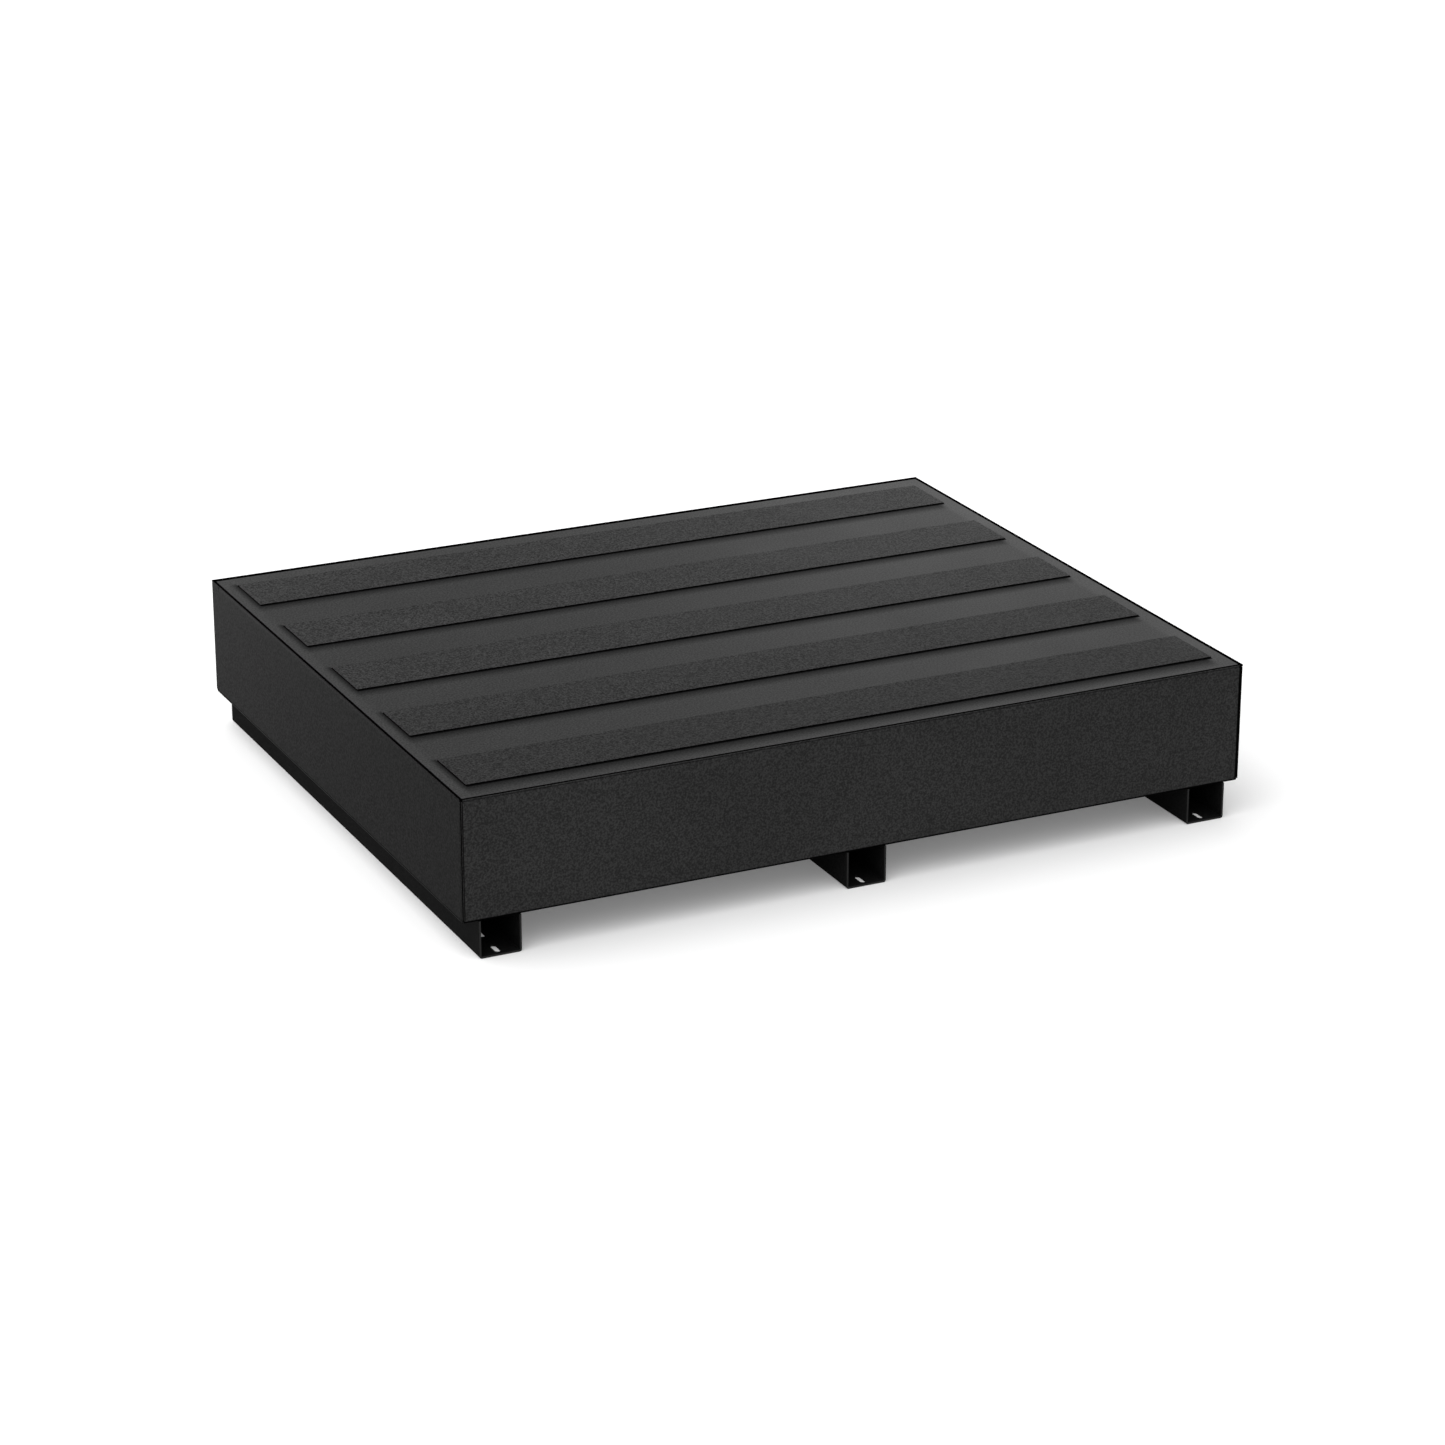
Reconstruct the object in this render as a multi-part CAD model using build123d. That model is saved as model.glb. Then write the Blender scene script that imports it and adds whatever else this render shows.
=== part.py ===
from build123d import *
import os

# Low-profile spill containment pallet in folded and welded sheet steel, with a closed
# lift-off deck and anti-slip strips.
# Millimetres. Origin: centre of the footprint, on the floor the runners stand on.
# +X to the right along the front, +Y to the rear, +Z up.

# Overall sizes
width = 1219.0            # 48 in across the front
depth = 1003.0            # 39.5 in front to rear
height = 235.0            # floor to the top of the deck plate
sheet = 2.7               # 12 gauge steel, used throughout
bend_radius = 3.7         # outside radius of every fold

# Runners
runner_width = 62.0
runner_height = 55.0
runner_inset = 23.0       # side face of the box to the outer face of an outer runner
slot_width = 9.0
slot_length = 25.0        # end to end
slot_distances = (19.5, 74.5)   # runner end to the middle of each anchor slot

# Sump box
return_flange = 30.0      # top flanges turned inwards, which carry the deck
flange_relief = 1.0       # gap between a side flange and the front or rear flange
corner_bead = 2.0         # rounding of the outside corner welds

# Deck supports in the sump
support_width = 40.0
support_end_gap = 13.5    # box face to the end of a support
notch_width = 60.0
notch_height = 15.0
notch_pitch = 300.0
notch_count = 3

# Deck
stiffener_width = 40.0
stiffener_depth = 40.0
stiffener_side_gap = 3.0  # stiffener end to the side flange's edge
strip_count = 5
strip_width = 101.6       # 4 in tape
strip_pitch = 203.2       # 8 in
strip_side_margin = 26.5
strip_thickness = 1.7

# Stitch welds
weld_leg = 3.0
stitch_length = 40.0
stitch_pitch = 200.0
runner_stitches = 5       # along each side of a runner
stiffener_stitches = 6    # along each side of a stiffener

# Levels and lines worked out from the sizes above
floor_bottom = runner_height
floor_top = floor_bottom + sheet
wall_top = height - sheet
support_top = wall_top - stiffener_depth
inner_x = width / 2 - sheet
inner_y = depth / 2 - sheet
runner_x = width / 2 - runner_inset - runner_width / 2
support_length = depth - 2 * support_end_gap
flange_length = depth - 2 * (return_flange + flange_relief)
stiffener_length = width - 2 * (return_flange + stiffener_side_gap)
strip_length = width - 2 * strip_side_margin

sides = {"left": -1, "right": 1}
rows = {"left": -runner_x, "middle": 0.0, "right": runner_x}    # runners and deck supports


def folded(points, plane, length):
    """Sheet folded along the given middle line and extruded evenly about the plane."""
    middle_line = FilletPolyline(*points, radius=bend_radius - sheet / 2)
    return extrude(plane * trace(middle_line, line_width=sheet), amount=length / 2, both=True)


def channel(channel_width, bottom, top, plane, length):
    """Folded U-channel, open at the top."""
    half = (channel_width - sheet) / 2
    web = bottom + sheet / 2
    return folded([(-half, top), (-half, web), (half, web), (half, top)], plane, length)


def cross_box(x_range, y_range, z_range):
    """Solid block between the given limits."""
    low = (x_range[0], y_range[0], z_range[0])
    high = (x_range[1], y_range[1], z_range[1])
    size = [b - a for a, b in zip(low, high)]
    middle = [(a + b) / 2 for a, b in zip(low, high)]
    return Pos(*middle) * Box(*size)


def evenly(count, pitch):
    """Places along a line, centred on zero."""
    return [(i - (count - 1) / 2) * pitch for i in range(count)]


strip_rows = evenly(strip_count, strip_pitch)
stiffener_rows = evenly(strip_count - 1, strip_pitch)


def fillet_stitch(direction_out, direction_up, along):
    """Triangular stitch weld in the corner at the origin, along the named axis."""
    plane = Plane.XZ if along == "Y" else Plane.YZ
    outline = Polyline((0, 0), (direction_out * weld_leg, 0), (0, direction_up * weld_leg), close=True)
    return extrude(plane * make_face(outline), amount=stitch_length / 2, both=True)


def sump_body():
    """Rear wall, floor and front wall with their top flanges, folded from one sheet."""
    wall = inner_y + sheet / 2
    top = wall_top - sheet / 2
    floor = floor_bottom + sheet / 2
    lip = depth / 2 - return_flange
    line = [(-lip, top), (-wall, top), (-wall, floor), (wall, floor), (wall, top), (lip, top)]
    return folded(line, Plane.YZ, 2 * inner_x)


def side_panel(side):
    """End panel that closes the folded body, with its top flange turned inwards."""
    panel_height = wall_top - floor_top
    panel = Pos(side * (inner_x + sheet / 2), 0, floor_top + panel_height / 2) * Box(
        sheet, 2 * inner_y, panel_height
    )
    bottom_edges = panel.edges().filter_by(Axis.X).group_by(Axis.Z)[0]
    panel = fillet(bottom_edges, bend_radius - sheet)
    fold_start = wall_top - 2 * bend_radius
    half_opening = flange_length / 2 + flange_relief
    panel -= cross_box((-width, width), (-half_opening, half_opening), (fold_start, height))
    face = side * (inner_x + sheet / 2)
    tip = side * (width / 2 - return_flange)
    line = [(face, fold_start), (face, wall_top - sheet / 2), (tip, wall_top - sheet / 2)]
    return panel + folded(line, Plane.XZ, flange_length)


def corner_weld(side):
    """Outside corner weld up the front corner, along the floor and up the rear corner."""
    outer = Pos(0, (floor_bottom + wall_top) / 2) * Rectangle(depth, wall_top - floor_bottom)
    inner = Pos(0, (floor_top + wall_top) / 2) * Rectangle(2 * inner_y, wall_top - floor_top)
    outer = fillet(outer.vertices().group_by(Axis.Y)[0], bend_radius)
    inner = fillet(inner.vertices().group_by(Axis.Y)[0], bend_radius - sheet)
    block = extrude(Plane.YZ * outer, amount=side * sheet)
    outer_face = block.faces().sort_by(Axis.X)[-1 if side > 0 else 0]
    block = fillet(outer_face.edges().group_by(Axis.Z)[:-1], corner_bead)
    return Pos(side * inner_x, 0, 0) * (block - extrude(Plane.YZ * inner, amount=side * sheet))


def runner(x):
    """U-channel runner with anchor slots through its base near both ends."""
    body = Pos(x, 0, 0) * channel(runner_width, 0.0, runner_height, Plane.XZ, depth)
    slot = Rot(0, 0, 90) * extrude(SlotOverall(slot_length, slot_width), amount=2 * sheet, both=True)
    for distance in slot_distances:
        for end in (-1, 1):
            body -= Pos(x, end * (depth / 2 - distance), 0) * slot
    return body


def deck_support(x):
    """Inverted channel on the sump floor, notched at the foot so that liquid passes."""
    upright = Pos(x, 0, floor_top + support_top) * Rot(180, 0, 0)
    body = upright * channel(support_width, floor_top, support_top, Plane.XZ, support_length)
    for y in evenly(notch_count, notch_pitch):
        body -= cross_box(
            (x - support_width, x + support_width),
            (y - notch_width / 2, y + notch_width / 2),
            (floor_bottom, floor_top + notch_height),
        )
    return body


def runner_welds():
    """Stitches between the runners' outer faces and the underside of the floor."""
    stitches = []
    for x in rows.values():
        for side in (-1, 1):
            for y in evenly(runner_stitches, stitch_pitch):
                place = Pos(x + side * runner_width / 2, y, runner_height)
                stitches.append(place * fillet_stitch(side, -1, "Y"))
    return Compound(children=stitches)


def support_welds():
    """Stitches between the supports' outer faces and the sump floor, clear of the notches."""
    stitches = []
    for x in rows.values():
        for side in (-1, 1):
            for y in evenly(notch_count + 1, notch_pitch):
                place = Pos(x + side * support_width / 2, y, floor_top)
                stitches.append(place * fillet_stitch(side, 1, "Y"))
    return Compound(children=stitches)


def stiffener_welds():
    """Stitches between the stiffeners' outer faces and the underside of the deck."""
    stitches = []
    for y in stiffener_rows:
        for side in (-1, 1):
            for x in evenly(stiffener_stitches, stitch_pitch):
                place = Pos(x, y + side * stiffener_width / 2, wall_top)
                stitches.append(place * fillet_stitch(side, -1, "X"))
    return Compound(children=stitches)


def deck_plate():
    """Closed sheet that covers the box from edge to edge."""
    return cross_box((-width / 2, width / 2), (-depth / 2, depth / 2), (wall_top, height))


def grip_strip(y):
    """Anti-slip strip laid across the deck."""
    return Pos(0, y, height + strip_thickness / 2) * Box(strip_length, strip_width, strip_thickness)


def deck_stiffener(y):
    """Channel under the deck between two strips, resting on the deck supports."""
    return Pos(0, y, 0) * channel(
        stiffener_width, support_top, wall_top, Plane.YZ, stiffener_length
    )


def save(shape, node):
    export_step(shape, f"parts/{node}.step")


os.makedirs("parts", exist_ok=True)

save(sump_body(), "sump_body")
for name, side in sides.items():
    save(side_panel(side), f"side_panel_{name}")
    save(corner_weld(side), f"corner_weld_{name}")
for name, x in rows.items():
    save(runner(x), f"runner_{name}")
    save(deck_support(x), f"deck_support_{name}")
save(runner_welds(), "runner_welds")
save(support_welds(), "support_welds")

save(deck_plate(), "deck_plate")
for number, y in enumerate(strip_rows, start=1):
    save(grip_strip(y), f"grip_strip_{number}")
for number, y in enumerate(stiffener_rows, start=1):
    save(deck_stiffener(y), f"deck_stiffener_{number}")
save(stiffener_welds(), "stiffener_welds")
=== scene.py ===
import bmesh
import bpy
import math
from mathutils import Euler, Matrix, Vector


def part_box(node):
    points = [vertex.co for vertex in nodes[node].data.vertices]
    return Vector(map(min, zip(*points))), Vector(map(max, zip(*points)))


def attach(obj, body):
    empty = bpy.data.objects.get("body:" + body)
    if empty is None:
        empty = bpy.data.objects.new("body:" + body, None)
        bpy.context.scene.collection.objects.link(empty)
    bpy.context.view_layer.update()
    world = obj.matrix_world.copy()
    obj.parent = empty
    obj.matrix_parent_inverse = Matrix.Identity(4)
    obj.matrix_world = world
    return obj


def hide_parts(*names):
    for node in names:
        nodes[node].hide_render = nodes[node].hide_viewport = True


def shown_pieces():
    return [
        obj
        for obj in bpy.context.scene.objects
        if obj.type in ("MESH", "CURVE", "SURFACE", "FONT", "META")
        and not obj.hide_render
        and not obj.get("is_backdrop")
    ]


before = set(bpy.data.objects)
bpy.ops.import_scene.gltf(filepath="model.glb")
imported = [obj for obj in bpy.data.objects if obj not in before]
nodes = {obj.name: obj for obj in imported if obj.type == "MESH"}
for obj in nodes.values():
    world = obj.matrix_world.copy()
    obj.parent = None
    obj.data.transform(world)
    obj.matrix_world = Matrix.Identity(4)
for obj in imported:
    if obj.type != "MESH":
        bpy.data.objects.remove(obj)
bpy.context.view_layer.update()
print("frame loaded:", len(nodes), "parts")

# camera, floor and light: a low three-quarter view from the front left, white all round

cameraView = {
    "place": (-2.4936, -5.2392, 2.2751),
    "turn": -25.598,    # degrees
    "height": 20.780,   # degrees above the horizon
    "lens": 103.05,
}


def addCamera(values):
    data = bpy.data.cameras.new("shopCamera")
    data.lens = values["lens"]
    data.sensor_width = 36.0
    data.clip_end = 200.0
    cam = bpy.data.objects.new("shopCamera", data)
    cam.location = values["place"]
    tilt = math.radians(90 - values["height"])
    cam.rotation_euler = Euler((tilt, 0.0, math.radians(values["turn"])), "XYZ")
    bpy.context.scene.collection.objects.link(cam)
    bpy.context.scene.camera = cam


addCamera(cameraView)

studio = {
    "floorSize": 120.0,
    "floorDrop": 0.0002,
    "floorGrey": 0.76,
    "floorGlow": 0.15,
    "skyHorizon": 0.5,
    "skyOverhead": 2.0,
    "skyLean": 0.75,
    "skyLeanReach": 0.5,
    "skySeen": 1.0,
}


def clearSelection():
    if bpy.context.object and bpy.context.object.mode != "OBJECT":
        bpy.ops.object.mode_set(mode="OBJECT")
    bpy.ops.object.select_all(action="DESELECT")


def addFloor(values):
    clearSelection()
    bpy.ops.mesh.primitive_plane_add(
        size=values["floorSize"], location=(0, 0, -values["floorDrop"]))
    floor = bpy.context.object
    floor.name = "studioFloor"
    bpy.ops.object.transform_apply(location=True, rotation=True, scale=True)
    mat = bpy.data.materials.new("floorWhite")
    mat.use_nodes = True
    shader = mat.node_tree.nodes["Principled BSDF"]
    grey = values["floorGrey"]
    shader.inputs["Base Color"].default_value = (grey, grey, grey, 1)
    shader.inputs["Roughness"].default_value = 1.0
    shader.inputs["Specular IOR Level"].default_value = 0.0
    shader.inputs["Emission Color"].default_value = (1, 1, 1, 1)
    shader.inputs["Emission Strength"].default_value = values["floorGlow"]
    floor.data.materials.append(mat)
    floor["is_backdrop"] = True


addFloor(studio)


def addSky(values):
    world = bpy.data.worlds.new("studioSky")
    bpy.context.scene.world = world
    world.use_nodes = True
    tree = world.node_tree
    back = tree.nodes["Background"]
    back.inputs["Color"].default_value = (1, 1, 1, 1)
    coords = tree.nodes.new("ShaderNodeTexCoord")
    split = tree.nodes.new("ShaderNodeSeparateXYZ")
    climb = tree.nodes.new("ShaderNodeMapRange")  # dim at the horizon, bright overhead
    climb.inputs["To Min"].default_value = values["skyHorizon"]
    climb.inputs["To Max"].default_value = values["skyOverhead"]
    aloft = tree.nodes.new("ShaderNodeMath")      # and brighter high up on the left
    aloft.operation = "MULTIPLY"
    across = tree.nodes.new("ShaderNodeMapRange")
    across.inputs["From Min"].default_value = -values["skyLeanReach"]
    across.inputs["From Max"].default_value = values["skyLeanReach"]
    across.inputs["To Min"].default_value = 1 + values["skyLean"]
    across.inputs["To Max"].default_value = 1 - values["skyLean"]
    both = tree.nodes.new("ShaderNodeMath")
    both.operation = "MULTIPLY"
    seen = tree.nodes.new("ShaderNodeLightPath")
    pick = tree.nodes.new("ShaderNodeMix")
    pick.inputs["B"].default_value = values["skySeen"]
    tree.links.new(coords.outputs["Generated"], split.inputs["Vector"])
    tree.links.new(split.outputs["Z"], climb.inputs["Value"])
    tree.links.new(split.outputs["X"], aloft.inputs[0])
    tree.links.new(split.outputs["Z"], aloft.inputs[1])
    tree.links.new(aloft.outputs["Value"], across.inputs["Value"])
    tree.links.new(climb.outputs["Result"], both.inputs[0])
    tree.links.new(across.outputs["Result"], both.inputs[1])
    tree.links.new(seen.outputs["Is Camera Ray"], pick.inputs["Factor"])
    tree.links.new(both.outputs["Value"], pick.inputs["A"])
    tree.links.new(pick.outputs["Result"], back.inputs["Strength"])


addSky(studio)

softboxes = {
    "keyBox": {"place": (1.35, 1.35, 0.65), "aim": (0.4, 0.2, 0.2), "size": (1.2, 0.8),
               "power": 21, "spares": ()},
    "fillBox": {"place": (-1.1, 1.5, 0.40), "aim": (-0.6, 0.4, 0.12), "size": (0.7, 0.4),
                "power": 34, "spares": ("runner",)},
}


def addSoftbox(name, values):
    data = bpy.data.lights.new(name, "AREA")
    data.shape = "RECTANGLE"
    data.size, data.size_y = values["size"]
    data.energy = values["power"]
    light = bpy.data.objects.new(name, data)
    light.location = values["place"]
    toAim = Vector(values["aim"]) - Vector(values["place"])
    light.rotation_euler = toAim.to_track_quat("-Z", "Y").to_euler()
    bpy.context.scene.collection.objects.link(light)


for name, values in softboxes.items():
    addSoftbox(name, values)


# each light falls on the pallet alone, and spares the parts named with it
def aimLights(boxes):
    for name, values in boxes.items():
        lit = bpy.data.collections.new(name + "Lit")
        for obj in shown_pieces():
            if not obj.name.startswith(values["spares"]):
                lit.objects.link(obj)
        bpy.data.objects[name].light_linking.receiver_collection = lit


bpy.context.scene.view_settings.view_transform = "Standard"
print("camera, floor and lights placed")


# shader helpers

def addNode(tree, kind, settings=None, values=None):
    node = tree.nodes.new("ShaderNode" + kind)
    for key, value in (settings or {}).items():
        setattr(node, key, value)
    for key, value in (values or {}).items():
        node.inputs[key].default_value = value
    return node


def wire(tree, source, socket):
    if isinstance(source, bpy.types.NodeSocket):
        tree.links.new(source, socket)
    else:
        socket.default_value = source


def maths(tree, what, first, second=0.0):
    node = addNode(tree, "Math", {"operation": what})
    wire(tree, first, node.inputs[0])
    wire(tree, second, node.inputs[1])
    return node.outputs["Value"]


def remap(tree, value, start, end, low, high):
    node = addNode(tree, "MapRange", {"interpolation_type": "SMOOTHSTEP"})
    for name, source in zip(("Value", "From Min", "From Max", "To Min", "To Max"),
                            (value, start, end, low, high)):
        wire(tree, source, node.inputs[name])
    return node.outputs["Result"]


def noiseAt(tree, coords, scale, detail):
    node = addNode(tree, "TexNoise", None, {"Detail": detail})
    wire(tree, coords, node.inputs["Vector"])
    wire(tree, scale, node.inputs["Scale"])
    return node.outputs["Fac"]


def split(tree, vector):
    node = addNode(tree, "SeparateXYZ")
    wire(tree, vector, node.inputs["Vector"])
    return node.outputs


def placeOn(tree):
    return addNode(tree, "TexCoord").outputs["Object"]


def facing(tree):
    return addNode(tree, "NewGeometry").outputs["Normal"]


def vectorMaths(tree, what, first, second=None):
    node = addNode(tree, "VectorMath", {"operation": what})
    wire(tree, first, node.inputs[0])
    if second is not None:
        wire(tree, second, node.inputs[1])
    return node.outputs["Vector"]


def mixColours(tree, share, first, second):
    node = addNode(tree, "Mix", {"data_type": "RGBA"})
    sockets = {s.identifier: s for s in node.inputs}
    wire(tree, share, sockets["Factor_Float"])
    wire(tree, first, sockets["A_Color"])
    wire(tree, second, sockets["B_Color"])
    return next(s for s in node.outputs if s.identifier == "Result_Color")


def grey(tone):
    return (tone, tone, tone, 1.0)


def startGroup(name, takes, gives):
    tree = bpy.data.node_groups.new(name, "ShaderNodeTree")
    for label, (kind, value) in takes.items():
        socket = tree.interface.new_socket(
            name=label, in_out="INPUT", socket_type="NodeSocket" + kind)
        socket.default_value = value
    for label, kind in gives.items():
        tree.interface.new_socket(name=label, in_out="OUTPUT", socket_type="NodeSocket" + kind)
    return tree, tree.nodes.new("NodeGroupInput").outputs, tree.nodes.new("NodeGroupOutput").inputs


def addGroup(tree, group, values):
    node = tree.nodes.new("ShaderNodeGroup")
    node.node_tree = group
    for key, value in values.items():
        wire(tree, value, node.inputs[key])
    return node.outputs


# baked powder paint or bonded grit: specks of tone, broad soft patches, a pebbled skin
grainForm = {"finer": 3.3, "patchesPerMetre": 7.0, "darkBelow": 0.32, "lightAbove": 0.68}


def makePowderGrain(values):
    tree, given, out = startGroup(
        "powderGrain",
        {
            "Tone": ("Color", grey(0.02)),
            "Grain Size": ("Float", 0.004),
            "Grain Contrast": ("Float", 0.15),
            "Patch Contrast": ("Float", 0.05),
            "Rough": ("Float", 0.7),
            "Rough Spread": ("Float", 0.1),
        },
        {"Color": "Color", "Roughness": "Float", "Height": "Float"},
    )
    coords = placeOn(tree)
    perMetre = maths(tree, "DIVIDE", 1.0, given["Grain Size"])
    grain = noiseAt(tree, coords, perMetre, 2.0)
    fine = noiseAt(tree, coords, maths(tree, "MULTIPLY", perMetre, values["finer"]), 1.0)
    patch = noiseAt(tree, coords, values["patchesPerMetre"], 2.0)
    contrast, patchy = given["Grain Contrast"], given["Patch Contrast"]
    half = maths(tree, "MULTIPLY", contrast, 0.5)
    shades = []
    for source, depth in ((grain, contrast), (fine, half), (patch, patchy)):
        darkest = maths(tree, "SUBTRACT", 1.0, depth)
        lightest = maths(tree, "ADD", 1.0, depth)
        shades.append(
            remap(tree, source, values["darkBelow"], values["lightAbove"], darkest, lightest))
    shade = maths(tree, "MULTIPLY", maths(tree, "MULTIPLY", shades[0], shades[1]), shades[2])
    toned = addNode(tree, "VectorMath", {"operation": "SCALE"})
    wire(tree, given["Tone"], toned.inputs[0])
    wire(tree, shade, toned.inputs["Scale"])
    wire(tree, toned.outputs["Vector"], out["Color"])
    uneven = maths(tree, "SUBTRACT", maths(tree, "ADD", grain, patch), 1.0)
    spread = maths(tree, "MULTIPLY", uneven, given["Rough Spread"])
    wire(tree, maths(tree, "ADD", given["Rough"], spread), out["Roughness"])
    wire(tree, maths(tree, "ADD", grain, maths(tree, "MULTIPLY", fine, 0.5)), out["Height"])
    return tree


# painted shade along edges and in inside corners: a mask there, and a normal that rounds the edge
edgeShadeForm = {"samples": 6, "turned": 0.82, "flat": 0.985}  # likeness of the rounded and true normals


def makeEdgeRound(values):
    tree, given, out = startGroup(
        "edgeRound", {"Radius": ("Float", 0.001)}, {"Normal": "Vector", "Edge": "Float"})
    bevel = addNode(tree, "Bevel", {"samples": values["samples"]})
    wire(tree, given["Radius"], bevel.inputs["Radius"])
    likeness = addNode(tree, "VectorMath", {"operation": "DOT_PRODUCT"})
    wire(tree, bevel.outputs["Normal"], likeness.inputs[0])
    wire(tree, facing(tree), likeness.inputs[1])
    wire(tree, bevel.outputs["Normal"], out["Normal"])
    edge = remap(tree, likeness.outputs["Value"], values["turned"], values["flat"], 1.0, 0.0)
    wire(tree, edge, out["Edge"])
    return tree


# painted shade: a mask near two of a box's faces at once, for dark lines along its outer edges
def makeBoxRim(solidShare):
    tree, given, out = startGroup(
        "boxRim",
        {
            "Middle": ("Vector", (0, 0, 0)),
            "Half Size": ("Vector", (1, 1, 1)),
            "Width": ("Float", 0.003),
        },
        {"Rim": "Float"},
    )
    offset = vectorMaths(tree, "SUBTRACT", placeOn(tree), given["Middle"])
    outward = vectorMaths(tree, "ABSOLUTE", offset)
    x, y, z = split(tree, vectorMaths(tree, "SUBTRACT", given["Half Size"], outward))
    lesser = maths(tree, "MINIMUM", x, y)
    greater = maths(tree, "MAXIMUM", x, y)
    second = maths(tree, "MAXIMUM", lesser, maths(tree, "MINIMUM", greater, z))
    solid = maths(tree, "MULTIPLY", given["Width"], solidShare)
    wire(tree, remap(tree, second, solid, given["Width"], 1.0, 0.0), out["Rim"])
    return tree


# a thin film of dust on what faces up
dustForm = {"driftsPerMetre": 14.0, "drifts": (0.35, 0.65, 0.4, 1.0), "motesPerMetre": 420.0,
            "motes": (0.45, 0.7, 0.5, 1.0), "steep": 0.3, "level": 0.95}


def makeDustFilm(values):
    tree, given, out = startGroup(
        "dustFilm",
        {
            "Color": ("Color", grey(0.02)),
            "Dust Tone": ("Color", grey(0.2)),
            "Amount": ("Float", 0.03),
        },
        {"Color": "Color"},
    )
    coords = placeOn(tree)
    rise = split(tree, facing(tree))["Z"]
    upwards = remap(tree, rise, values["steep"], values["level"], 0.0, 1.0)
    drifts = remap(tree, noiseAt(tree, coords, values["driftsPerMetre"], 3.0), *values["drifts"])
    motes = remap(tree, noiseAt(tree, coords, values["motesPerMetre"], 1.0), *values["motes"])
    film = maths(tree, "MULTIPLY", maths(tree, "MULTIPLY", drifts, motes), upwards)
    share = maths(tree, "MULTIPLY", film, given["Amount"])
    wire(tree, mixColours(tree, share, given["Color"], given["Dust Tone"]), out["Color"])
    return tree


powderGrain = makePowderGrain(grainForm)
edgeRound = makeEdgeRound(edgeShadeForm)
boxRim = makeBoxRim(solidShare=0.6)  # the rest of its width fades out
dustFilm = makeDustFilm(dustForm)
dustTone = 0.2

coats = {
    "deckPowder": {"tone": 0.0287, "rough": 0.66, "sheen": 0.02, "grainSize": 0.0028, "grain": 0.36,
                   "patch": 0.04, "roughSpread": 0.25, "peel": 0.00006, "edgeRadius": 0.0006,
                   "edgeShadeTone": 0.001, "dust": 0.012},
    "wallPowder": {"tone": 0.0220, "rough": 0.75, "sheen": 0.01, "grainSize": 0.0027, "grain": 0.37,
                   "patch": 0.05, "roughSpread": 0.25, "peel": 0.00008, "edgeRadius": 0.0006,
                   "edgeShadeTone": 0.001, "dust": 0.01},
    # painted shade: the side panels' coat is a darker copy of the walls' coat
    "panelPowder": {"tone": 0.0098, "rough": 0.75, "sheen": 0.01, "grainSize": 0.0034, "grain": 0.40,
                    "patch": 0.05, "roughSpread": 0.25, "peel": 0.00008, "edgeRadius": 0.0006,
                    "edgeShadeTone": 0.001, "dust": 0.01},
    # painted shade: the runners' coat is a darker copy of the walls' coat
    "runnerPowder": {"tone": 0.0062, "rough": 0.75, "sheen": 0.01, "grainSize": 0.0030, "grain": 0.30,
                     "patch": 0.06, "roughSpread": 0.3, "peel": 0.00008, "edgeRadius": 0.0004,
                     "edgeShadeTone": 0.001, "dust": 0.004},
    "innerPowder": {"tone": 0.016, "rough": 0.7, "sheen": 0.10, "grainSize": 0.0035, "grain": 0.25,
                    "patch": 0.08, "roughSpread": 0.3, "peel": 0.00010, "edgeRadius": 0.0010,
                    "edgeShadeTone": 0.004, "dust": 0.02},
    "beadPowder": {"tone": 0.016, "rough": 0.75, "sheen": 0.02, "grainSize": 0.0025, "grain": 0.34,
                   "patch": 0.05, "roughSpread": 0.25, "peel": 0.00006, "edgeRadius": 0.0002,
                   "edgeShadeTone": 0.001, "dust": 0.0},
    "weldPowder": {"tone": 0.0012, "rough": 0.6, "sheen": 0.03, "grainSize": 0.0015, "grain": 0.20,
                   "patch": 0.05, "roughSpread": 0.3, "peel": 0.00005, "edgeRadius": 0.0003,
                   "edgeShadeTone": 0.001, "dust": 0.0},
    "shearedEdge": {"tone": 0.0006, "rough": 0.8, "sheen": 0.0, "grainSize": 0.0020, "grain": 0.50,
                    "patch": 0.05, "roughSpread": 0.3, "peel": 0.00006, "edgeRadius": 0.0003,
                    "edgeShadeTone": 0.001, "dust": 0.0},
    "gritFace": {"tone": 0.0205, "rough": 0.85, "sheen": 0.03, "grainSize": 0.0024, "grain": 0.68,
                 "patch": 0.06, "roughSpread": 0.3, "peel": 0.00030, "edgeRadius": 0.0016,
                 "edgeShadeTone": 0.0015, "dust": 0.01},
    "tapeBacking": {"tone": 0.0003, "rough": 0.8, "sheen": 0.0, "grainSize": 0.0020, "grain": 0.20,
                    "patch": 0.05, "roughSpread": 0.2, "peel": 0.00004, "edgeRadius": 0.0003,
                    "edgeShadeTone": 0.0003, "dust": 0.0},
}


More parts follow.
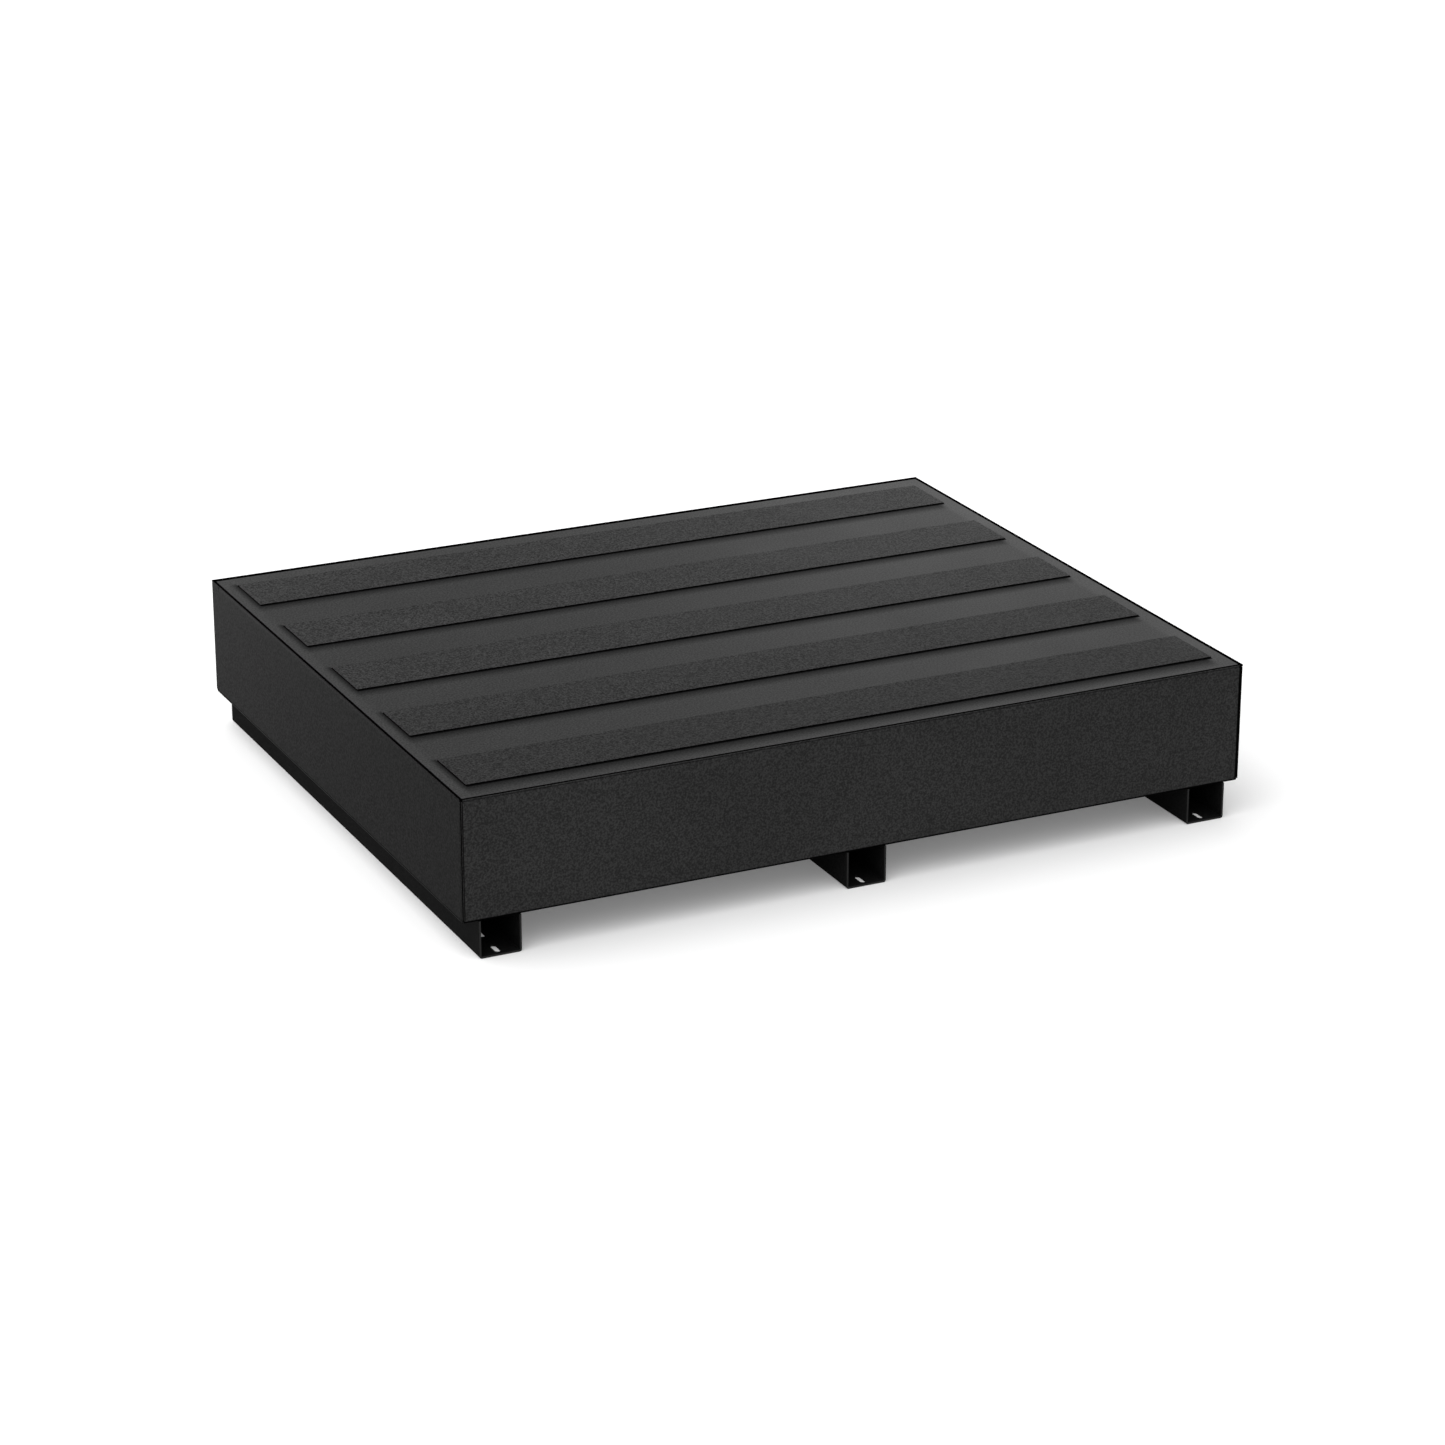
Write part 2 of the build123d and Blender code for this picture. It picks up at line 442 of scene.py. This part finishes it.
def coatMaterial(name, values):
    mat = bpy.data.materials.new(name)
    mat.use_nodes = True
    tree = mat.node_tree
    shader = tree.nodes["Principled BSDF"]
    shader.inputs["Specular IOR Level"].default_value = values["sheen"]
    skin = addGroup(tree, powderGrain, {
        "Tone": grey(values["tone"]), "Grain Size": values["grainSize"],
        "Grain Contrast": values["grain"], "Patch Contrast": values["patch"],
        "Rough": values["rough"], "Rough Spread": values["roughSpread"]})
    edge = addGroup(tree, edgeRound, {"Radius": values["edgeRadius"]})
    # painted shade: the coat goes near black along edges and in inside corners
    edgeShaded = mixColours(tree, edge["Edge"], skin["Color"], grey(values["edgeShadeTone"]))
    dusted = addGroup(tree, dustFilm, {
        "Color": edgeShaded, "Dust Tone": grey(dustTone), "Amount": values["dust"]})
    bump = addNode(tree, "Bump", None, {"Strength": 1.0, "Distance": values["peel"]})
    wire(tree, skin["Height"], bump.inputs["Height"])
    wire(tree, edge["Normal"], bump.inputs["Normal"])
    wire(tree, dusted["Color"], shader.inputs["Base Color"])
    wire(tree, skin["Roughness"], shader.inputs["Roughness"])
    wire(tree, bump.outputs["Normal"], shader.inputs["Normal"])
    return mat


paints = {name: coatMaterial(name, values) for name, values in coats.items()}


# lays another tone over a finished coat where the mask is up, and dulls it as asked
def overlay(mat, share, tone, rough=None):
    tree = mat.node_tree
    inputs = tree.nodes["Principled BSDF"].inputs
    under = inputs["Base Color"].links[0].from_socket
    wire(tree, mixColours(tree, share, under, grey(tone)), inputs["Base Color"])
    if rough is not None:
        under = inputs["Roughness"].links[0].from_socket
        change = maths(tree, "MULTIPLY", maths(tree, "SUBTRACT", rough, under), share)
        wire(tree, maths(tree, "ADD", under, change), inputs["Roughness"])


# painted shade on the deck: darkest in front of each strip and at its left end,
# and thinly all over between the strips
paintedStripShade = {"frontReach": 0.042, "endReach": 0.014, "shade": 0.80, "contact": 0.0048,
         "endContact": 0.0012, "between": 0.15, "tone": 0.0008, "rough": 0.9, "contactRough": 1.0}


def addStripGrime(mat, values):
    tree = mat.node_tree
    low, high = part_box("grip_strip_1")
    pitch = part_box("grip_strip_2")[0].y - low.y
    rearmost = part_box("grip_strip_5")[1].y
    x, y, _ = split(tree, placeOn(tree))
    ahead = maths(tree, "FLOORED_MODULO", maths(tree, "SUBTRACT", low.y, y), pitch)
    beside = maths(tree, "FLOORED_MODULO", maths(tree, "SUBTRACT", y, low.y), pitch)
    past = maths(tree, "SUBTRACT", low.x, x)
    endReach, width = values["endReach"], high.y - low.y
    inFront = remap(tree, ahead, 0.0, values["frontReach"], 1.0, 0.0)
    fromLeft = remap(tree, x, low.x - endReach, low.x, 0.0, 1.0)
    toRight = remap(tree, x, high.x - endReach, high.x, 1.0, 0.0)
    within = maths(tree, "MULTIPLY", fromLeft, toRight)
    beyond = maths(tree, "GREATER_THAN", past, 0.0)
    atEnd = maths(tree, "MULTIPLY", remap(tree, past, 0.0, endReach, 1.0, 0.0), beyond)
    inRow = remap(tree, beside, width, width + endReach, 1.0, 0.0)
    front = maths(tree, "MULTIPLY", inFront, within)
    end = maths(tree, "MULTIPLY", atEnd, inRow)
    frontShade = maths(tree, "MULTIPLY", maths(tree, "MAXIMUM", front, end), values["shade"])
    inside = maths(tree, "MULTIPLY", maths(tree, "GREATER_THAN", y, low.y),
                   maths(tree, "LESS_THAN", y, rearmost))
    thin = maths(tree, "MULTIPLY", maths(tree, "MULTIPLY", inside, within), values["between"])
    overlay(mat, maths(tree, "MAXIMUM", frontShade, thin), values["tone"], values["rough"])
    # painted shade: a black line where the strip's edge meets the plate
    underFront = maths(tree, "MULTIPLY", maths(tree, "LESS_THAN", ahead, values["contact"]),
                       maths(tree, "LESS_THAN", maths(tree, "ABSOLUTE", x), high.x))
    underEnd = maths(tree, "MULTIPLY", maths(tree, "LESS_THAN", past, values["endContact"]),
                     maths(tree, "LESS_THAN", beside, width))
    underEnd = maths(tree, "MULTIPLY", underEnd, beyond)
    contact = maths(tree, "MAXIMUM", underFront, underEnd)
    overlay(mat, contact, values["tone"], values["contactRough"])


addStripGrime(paints["deckPowder"], paintedStripShade)

# the front strips are painted darker, fading out towards the rear
frontStripDarkening = {"front": -0.46, "rear": 0.02, "share": 0.17}


def addTreadWear(mat, values):
    tree = mat.node_tree
    y = split(tree, placeOn(tree))["Y"]
    towardsFront = remap(tree, y, values["front"], values["rear"], values["share"], 0.0)
    overlay(mat, towardsFront, paintedStripShade["tone"])


addTreadWear(paints["gritFace"], frontStripDarkening)

# painted shade: dark lines along the outer edges of the box
rims = {"wallPowder": 0.0045, "panelPowder": 0.0048, "beadPowder": 0.0016}
rimShadeTone = 0.0004
coveredTop = Vector((0, 0, 0.020))  # none along the top, where the deck lies over the fold


def addRim(mat, low, high, width):
    rim = addGroup(mat.node_tree, boxRim, {
        "Middle": (low + high) / 2, "Half Size": (high - low) / 2, "Width": width})
    overlay(mat, rim["Rim"], rimShadeTone, 1.0)


for name, width in rims.items():
    addRim(paints[name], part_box("corner_weld_left")[0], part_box("deck_plate")[1] + coveredTop, width)


# painted shade: a dark band at the right end of the walls
rightEndShade = {"reach": 0.0066, "fade": 0.0015}


def addThinEnd(mat, values):
    tree = mat.node_tree
    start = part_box("deck_plate")[1].x - values["reach"]
    x = split(tree, placeOn(tree))["X"]
    overlay(mat, remap(tree, x, start, start + values["fade"], 0.0, 1.0), rimShadeTone, 1.0)


addThinEnd(paints["wallPowder"], rightEndShade)


# the runners' end faces keep about the walls' tone, paler than the rest of the runner coat, which is
# painted darker as shade
unshadedRunnerEnds = {"tone": 0.020, "slanting": 0.9, "square": 0.99}


def addSawnEnds(mat, values):
    tree = mat.node_tree
    outward = maths(tree, "ABSOLUTE", split(tree, facing(tree))["Y"])
    endOn = remap(tree, outward, values["slanting"], values["square"], 0.0, 1.0)
    overlay(mat, endOn, values["tone"])


addSawnEnds(paints["runnerPowder"], unshadedRunnerEnds)
print("materials made:", ", ".join(paints))


# modelling helpers: pick one object, choose in edit mode by place, finish with its place in the mesh

xAxis, yAxis, zAxis = Vector((1, 0, 0)), Vector((0, 1, 0)), Vector((0, 0, 1))
squareOn = 0.99         # how much of a normal lies along its axis when the face is square to it
mergeWithin = 0.00001   # metres


def pick(obj):
    clearSelection()
    obj.select_set(True)
    bpy.context.view_layer.objects.active = obj


def openMesh(obj):
    pick(obj)
    bpy.ops.object.mode_set(mode="EDIT")


def closeMesh():
    bpy.ops.object.mode_set(mode="OBJECT")


def choose(obj, kind, test):
    bpy.ops.mesh.select_mode(type=kind)
    bpy.ops.mesh.select_all(action="DESELECT")
    mesh = bmesh.from_edit_mesh(obj.data)
    for item in {"VERT": mesh.verts, "EDGE": mesh.edges, "FACE": mesh.faces}[kind]:
        if test(item):
            item.select_set(True)
    mesh.select_flush_mode()
    bmesh.update_edit_mesh(obj.data)


def newest(name, size=(1, 1, 1)):
    obj = bpy.context.object
    obj.name = name
    obj.data.name = name
    obj.scale = size
    bpy.ops.object.transform_apply(location=True, rotation=True, scale=True)
    return obj


def applyModifier(obj, kind, values):
    pick(obj)
    mod = obj.modifiers.new(kind.lower(), kind)
    for key, value in values.items():
        setattr(mod, key, value)
    bpy.ops.object.modifier_apply(modifier=mod.name)


def copyTo(obj, name, shift):
    twin = obj.copy()
    twin.data = obj.data.copy()
    twin.name = name
    twin.data.name = name
    twin.location = shift
    bpy.context.scene.collection.objects.link(twin)
    pick(twin)
    bpy.ops.object.transform_apply(location=True, rotation=True, scale=True)
    return twin


def joinAll(objs, name):
    pick(objs[0])
    for obj in objs:
        obj.select_set(True)
    bpy.ops.object.join()
    whole = bpy.context.object
    whole.name = name
    whole.data.name = name
    return whole


def smooth(obj, angle):
    pick(obj)
    bpy.ops.object.shade_smooth_by_angle(angle=math.radians(angle))


def paint(obj, *names):
    obj.data.materials.clear()
    for name in names:
        obj.data.materials.append(paints[name])


def settle(obj, body, slot, *replaced):
    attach(obj, body)
    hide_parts(*replaced)


# deck plate: sheared sheet, its upper edges rolled over by the shear, the lower ones nearly sharp;
# its rounded edges and a border along each side of its top are painted black as shade
deckPlateForm = {"upperRound": 0.0006, "lowerRound": 0.0002, "roundSteps": 3, "smoothBelow": 35,
                 "leftRim": 0.0036, "rightRim": 0.0066, "frontRim": 0.0030, "rearRim": 0.0110}


def makeDeckPlate(values):
    low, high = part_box("deck_plate")
    left, right = low.x + values["leftRim"], high.x - values["rightRim"]
    front, rear = low.y + values["frontRim"], high.y - values["rearRim"]
    clearSelection()
    bpy.ops.mesh.primitive_cube_add(size=1, location=(low + high) / 2)
    plate = newest("deckPlate", high - low)
    middle = (low.z + high.z) / 2
    openMesh(plate)
    choose(plate, "EDGE", lambda e: all(v.co.z > middle for v in e.verts))
    bpy.ops.mesh.bevel(offset=values["upperRound"], segments=values["roundSteps"], affect="EDGES")
    choose(plate, "EDGE", lambda e: all(v.co.z < low.z + 1e-6 for v in e.verts))
    bpy.ops.mesh.bevel(offset=values["lowerRound"], segments=1, affect="EDGES")
    for place, across in (((left, 0, 0), xAxis), ((right, 0, 0), xAxis),
                          ((0, front, 0), yAxis), ((0, rear, 0), yAxis)):
        choose(plate, "FACE", lambda f: f.normal.z > squareOn)
        bpy.ops.mesh.bisect(plane_co=place, plane_no=across)
    closeMesh()
    paint(plate, "deckPowder", "shearedEdge", "wallPowder", "panelPowder")
    for face in plate.data.polygons:
        x, y = face.center.x, face.center.y
        if abs(face.normal.z) > squareOn and left < x < right and front < y < rear:
            face.material_index = 0
        elif abs(face.normal.y) > squareOn:
            face.material_index = 2
        elif abs(face.normal.x) > squareOn:
            face.material_index = 3
        else:
            face.material_index = 1
    smooth(plate, values["smoothBelow"])
    settle(plate, "deck", "deck_coat", "deck_plate")


makeDeckPlate(deckPlateForm)
print("deck plate made")

# anti-slip strips: a coarse grit face on a die-cut backing, modelled once and laid five times
gripStripForm = {"cell": 0.0018, "gritSize": 0.0036, "gritDepth": 0.0007, "gritRise": 0.4,
                 "smoothBelow": 40}


def makeGripStrips(values):
    low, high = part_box("grip_strip_1")
    size = high - low
    clearSelection()
    bpy.ops.mesh.primitive_grid_add(
        x_subdivisions=round(size.x / values["cell"]),
        y_subdivisions=round(size.y / values["cell"]),
        size=1, location=((low.x + high.x) / 2, (low.y + high.y) / 2, high.z))
    strip = newest("gripStrip1", (size.x, size.y, 1))
    grit = bpy.data.textures.new("gritLumps", "CLOUDS")
    grit.noise_scale = values["gritSize"]
    grit.noise_depth = 1
    applyModifier(strip, "DISPLACE", {
        "texture": grit, "texture_coords": "LOCAL", "direction": "Z",
        "strength": values["gritDepth"], "mid_level": 1.0})
    openMesh(strip)
    choose(strip, "EDGE", lambda e: e.is_boundary)
    bpy.ops.mesh.extrude_region_move(TRANSFORM_OT_translate={"value": (0, 0, low.z - high.z)})
    bpy.ops.transform.resize(value=(1, 1, 0), center_override=(0, 0, low.z))
    bpy.ops.mesh.edge_face_add()
    bpy.ops.mesh.select_all(action="SELECT")
    bpy.ops.mesh.normals_make_consistent(inside=False)
    closeMesh()
    paint(strip, "gritFace", "tapeBacking")
    for face in strip.data.polygons:
        face.material_index = 0 if face.normal.z > values["gritRise"] else 1
    smooth(strip, values["smoothBelow"])
    strips = [strip]
    for number in range(2, 6):
        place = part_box("grip_strip_" + str(number))[0]
        strips.append(copyTo(strip, "gripStrip" + str(number), place - low))
    for number, obj in enumerate(strips, 1):
        settle(obj, "deck", "grip_tape", "grip_strip_" + str(number))
    return strips


gripStrips = makeGripStrips(gripStripForm)
print("grip strips laid:", len(gripStrips))

# corner welds: a fine rippled bead up the front corner, along the floor edge and up the rear corner
cornerBeadForm = {"halfWidth": 0.00155, "rounding": 0.0008, "inset": 0.00165, "pitch": 0.0030,
                  "swell": 1.06, "fold": 0.0037, "elbowSteps": 5, "topGap": 0.0010,
                  "cornerLean": 0.3, "smoothBelow": 60}


def beadRun(name, start, end, values):
    run = end - start
    count = math.ceil(run.length / values["pitch"])
    pitch = run.length / count
    clearSelection()
    bpy.ops.mesh.primitive_cylinder_add(
        vertices=4, radius=values["halfWidth"] * math.sqrt(2), depth=pitch, end_fill_type="NOTHING",
        location=(0, 0, pitch / 2), rotation=(0, 0, math.pi / 4))
    bead = newest(name)
    openMesh(bead)
    choose(bead, "EDGE", lambda e: abs(e.verts[0].co.z - e.verts[1].co.z) > pitch / 2)
    bpy.ops.mesh.bevel(offset=values["rounding"], segments=2, affect="EDGES")
    choose(bead, "EDGE", lambda e: abs(e.verts[0].co.z - e.verts[1].co.z) > pitch / 2)
    bpy.ops.mesh.subdivide(number_cuts=1)
    choose(bead, "VERT", lambda v: abs(v.co.z - pitch / 2) < pitch / 10)
    bpy.ops.transform.resize(
        value=(values["swell"], values["swell"], 1), center_override=(0, 0, pitch / 2))
    closeMesh()
    applyModifier(bead, "ARRAY", {
        "count": count, "use_relative_offset": False, "use_constant_offset": True,
        "constant_offset_displace": (0, 0, pitch), "use_merge_vertices": True,
        "merge_threshold": pitch / 20})
    openMesh(bead)
    choose(bead, "EDGE", lambda e: e.is_boundary and e.verts[0].co.z < pitch / 2)
    bpy.ops.mesh.edge_face_add()
    choose(bead, "EDGE", lambda e: e.is_boundary)
    bpy.ops.mesh.edge_face_add()
    bpy.ops.mesh.select_all(action="SELECT")
    bpy.ops.mesh.normals_make_consistent(inside=False)
    closeMesh()
    if abs(run.y) > 0:
        bead.rotation_euler = (math.copysign(math.pi / 2, -run.y), 0, 0)
    elif run.z < 0:
        bead.rotation_euler = (math.pi, 0, 0)
    bead.location = start
    pick(bead)
    bpy.ops.object.transform_apply(location=True, rotation=True, scale=True)
    return bead


def beadElbow(name, start, centre, angle, values):
    clearSelection()
    bpy.ops.mesh.primitive_circle_add(
        vertices=4, radius=values["halfWidth"] * math.sqrt(2), location=start,
        rotation=(0, 0, math.pi / 4))
    elbow = newest(name)
    openMesh(elbow)
    bpy.ops.mesh.select_all(action="SELECT")
    bpy.ops.mesh.bevel(offset=values["rounding"], segments=2, affect="VERTICES")
    bpy.ops.mesh.select_all(action="SELECT")
    bpy.ops.mesh.spin(steps=values["elbowSteps"], angle=angle, center=centre, axis=(1, 0, 0))
    bpy.ops.mesh.select_all(action="SELECT")
    bpy.ops.mesh.remove_doubles(threshold=mergeWithin)
    bpy.ops.mesh.normals_make_consistent(inside=False)
    closeMesh()
    return elbow


def makeCornerWeld(name, node, side, coat, values):
    low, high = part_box(node)
    inset, fold = values["inset"], values["fold"]
    x = (high.x if side > 0 else low.x) - side * inset
    top, foot = high.z - values["topGap"], low.z + fold
    front, rear = low.y + inset, high.y - inset
    floorLine, floorFront, floorRear = low.z + inset, low.y + fold, high.y - fold
    parts = [
        beadRun(name, Vector((x, front, top)), Vector((x, front, foot)), values),
        beadRun(name, Vector((x, floorFront, floorLine)), Vector((x, floorRear, floorLine)), values),
        beadRun(name, Vector((x, rear, foot)), Vector((x, rear, top)), values),
        beadElbow(name, (x, front, foot), (x, floorFront, foot), math.pi / 2, values),
        beadElbow(name, (x, rear, foot), (x, floorRear, foot), -math.pi / 2, values),
    ]
    weld = joinAll(parts, name)
    paint(weld, coat, "shearedEdge")  # its rounded corners painted black as shade
    for face in weld.data.polygons:
        leans = sum(abs(c) > values["cornerLean"] for c in face.normal)
        face.material_index = 1 if leans > 1 else 0
    smooth(weld, values["smoothBelow"])
    settle(weld, "base", "weld_coat", node)
    print(name, "spans", [round(c, 4) for c in (*weld.bound_box[0], *weld.bound_box[6])])


makeCornerWeld("cornerWeldLeft", "corner_weld_left", -1, "beadPowder", cornerBeadForm)
# painted shade: the right weld takes the near-black weld coat, for a dark line down the right-hand
# corners
makeCornerWeld("cornerWeldRight", "corner_weld_right", 1, "weldPowder", cornerBeadForm)
print("corner welds run")

# stitch welds: one rippled fillet with tapered ends, then copied to every place
stitchForm = {"length": 0.040, "leg": 0.003, "sides": 12, "rings": 13, "dip": 0.84, "taper": 0.40,
              "smoothBelow": 60}


def makeStitch(values):
    length, leg, rings = values["length"], values["leg"], values["rings"]
    clearSelection()
    bpy.ops.mesh.primitive_cylinder_add(vertices=values["sides"], radius=leg, depth=length)
    stitch = newest("stitch")
    openMesh(stitch)
    for normal in ((-1, 0, 0), (0, -1, 0)):  # keeps the quarter that fills an inside corner
        bpy.ops.mesh.select_all(action="SELECT")
        bpy.ops.mesh.bisect(plane_co=(0, 0, 0), plane_no=normal, clear_outer=True, use_fill=True)
    choose(stitch, "EDGE", lambda e: abs(e.verts[0].co.z - e.verts[1].co.z) > length / 2)
    bpy.ops.mesh.subdivide(number_cuts=rings)
    step = length / (rings + 1)

    def ringOf(v):
        return round((v.co.z + length / 2) / step)

    dip, taper = values["dip"], values["taper"]
    choose(stitch, "VERT", lambda v: ringOf(v) % 2 == 0)
    bpy.ops.transform.resize(value=(dip, dip, 1), center_override=(0, 0, 0))
    choose(stitch, "VERT", lambda v: ringOf(v) in (0, rings + 1))
    bpy.ops.transform.resize(value=(taper, taper, 1), center_override=(0, 0, 0))
    bpy.ops.mesh.select_all(action="SELECT")
    bpy.ops.mesh.remove_doubles(threshold=mergeWithin)
    bpy.ops.mesh.normals_make_consistent(inside=False)
    closeMesh()
    smooth(stitch, values["smoothBelow"])
    return stitch


def lay(stitch, place, along, out, up):
    if out.cross(up).dot(along) < 0:  # swapped, so that the copy isn't mirrored
        out, up = up, out
    piece = stitch.copy()
    piece.data = stitch.data.copy()
    bpy.context.scene.collection.objects.link(piece)
    piece.matrix_world = Matrix((
        (out.x, up.x, along.x, place.x),
        (out.y, up.y, along.y, place.y),
        (out.z, up.z, along.z, place.z),
        (0, 0, 0, 1)))
    return piece


seams = {
    "runnerWelds": {
        "node": "runner_welds", "body": "base",
        "beside": ("runner_left", "runner_middle", "runner_right"),
        "across": xAxis, "along": yAxis, "up": -zAxis, "count": 5, "pitch": 0.200},
    "supportWelds": {
        "node": "support_welds", "body": "base",
        "beside": ("deck_support_left", "deck_support_middle", "deck_support_right"),
        "across": xAxis, "along": yAxis, "up": zAxis, "count": 4, "pitch": 0.300},
    "stiffenerWelds": {
        "node": "stiffener_welds", "body": "deck",
        "beside": ("deck_stiffener_1", "deck_stiffener_2", "deck_stiffener_3", "deck_stiffener_4"),
        "across": yAxis, "along": xAxis, "up": -zAxis, "count": 6, "pitch": 0.200},
}


def stitchSeam(name, stitch, values):
    pieces = []
    for neighbour in values["beside"]:
        low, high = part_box(neighbour)
        level = low.z if values["up"].z > 0 else high.z
        middle = (low + high) / 2
        half = (high - low).dot(values["across"]) / 2
        for side in (-1, 1):
            for number in range(values["count"]):
                offset = (number - (values["count"] - 1) / 2) * values["pitch"]
                place = values["across"] * side * half + values["along"] * offset
                place = Vector((middle.x, middle.y, level)) + place
                out = values["across"] * side
                pieces.append(lay(stitch, place, values["along"], out, values["up"]))
    welds = joinAll(pieces, name)
    bpy.ops.object.transform_apply(location=True, rotation=True, scale=True)
    paint(welds, "weldPowder")
    settle(welds, values["body"], "weld_coat", values["node"])
    corners = zip((welds.bound_box[0], welds.bound_box[6]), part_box(values["node"]))
    gap = max(abs(a - b) for corner, planned in corners for a, b in zip(corner, planned))
    print(name, len(pieces), "stitches, off the plan by at most", round(gap, 5))


stitch = makeStitch(stitchForm)
for name, values in seams.items():
    stitchSeam(name, stitch, values)
bpy.data.objects.remove(stitch)

plainPaint = {
    "sump_body": "wallPowder",
    "side_panel": "panelPowder",
    "runner": "runnerPowder",
    "deck_support": "innerPowder",
    "deck_stiffener": "innerPowder",
}
for name, node in nodes.items():
    for start, coat in plainPaint.items():
        if name.startswith(start) and not name.endswith("welds"):
            paint(node, coat)

aimLights(softboxes)  # the light under the pallet comes from the sky alone
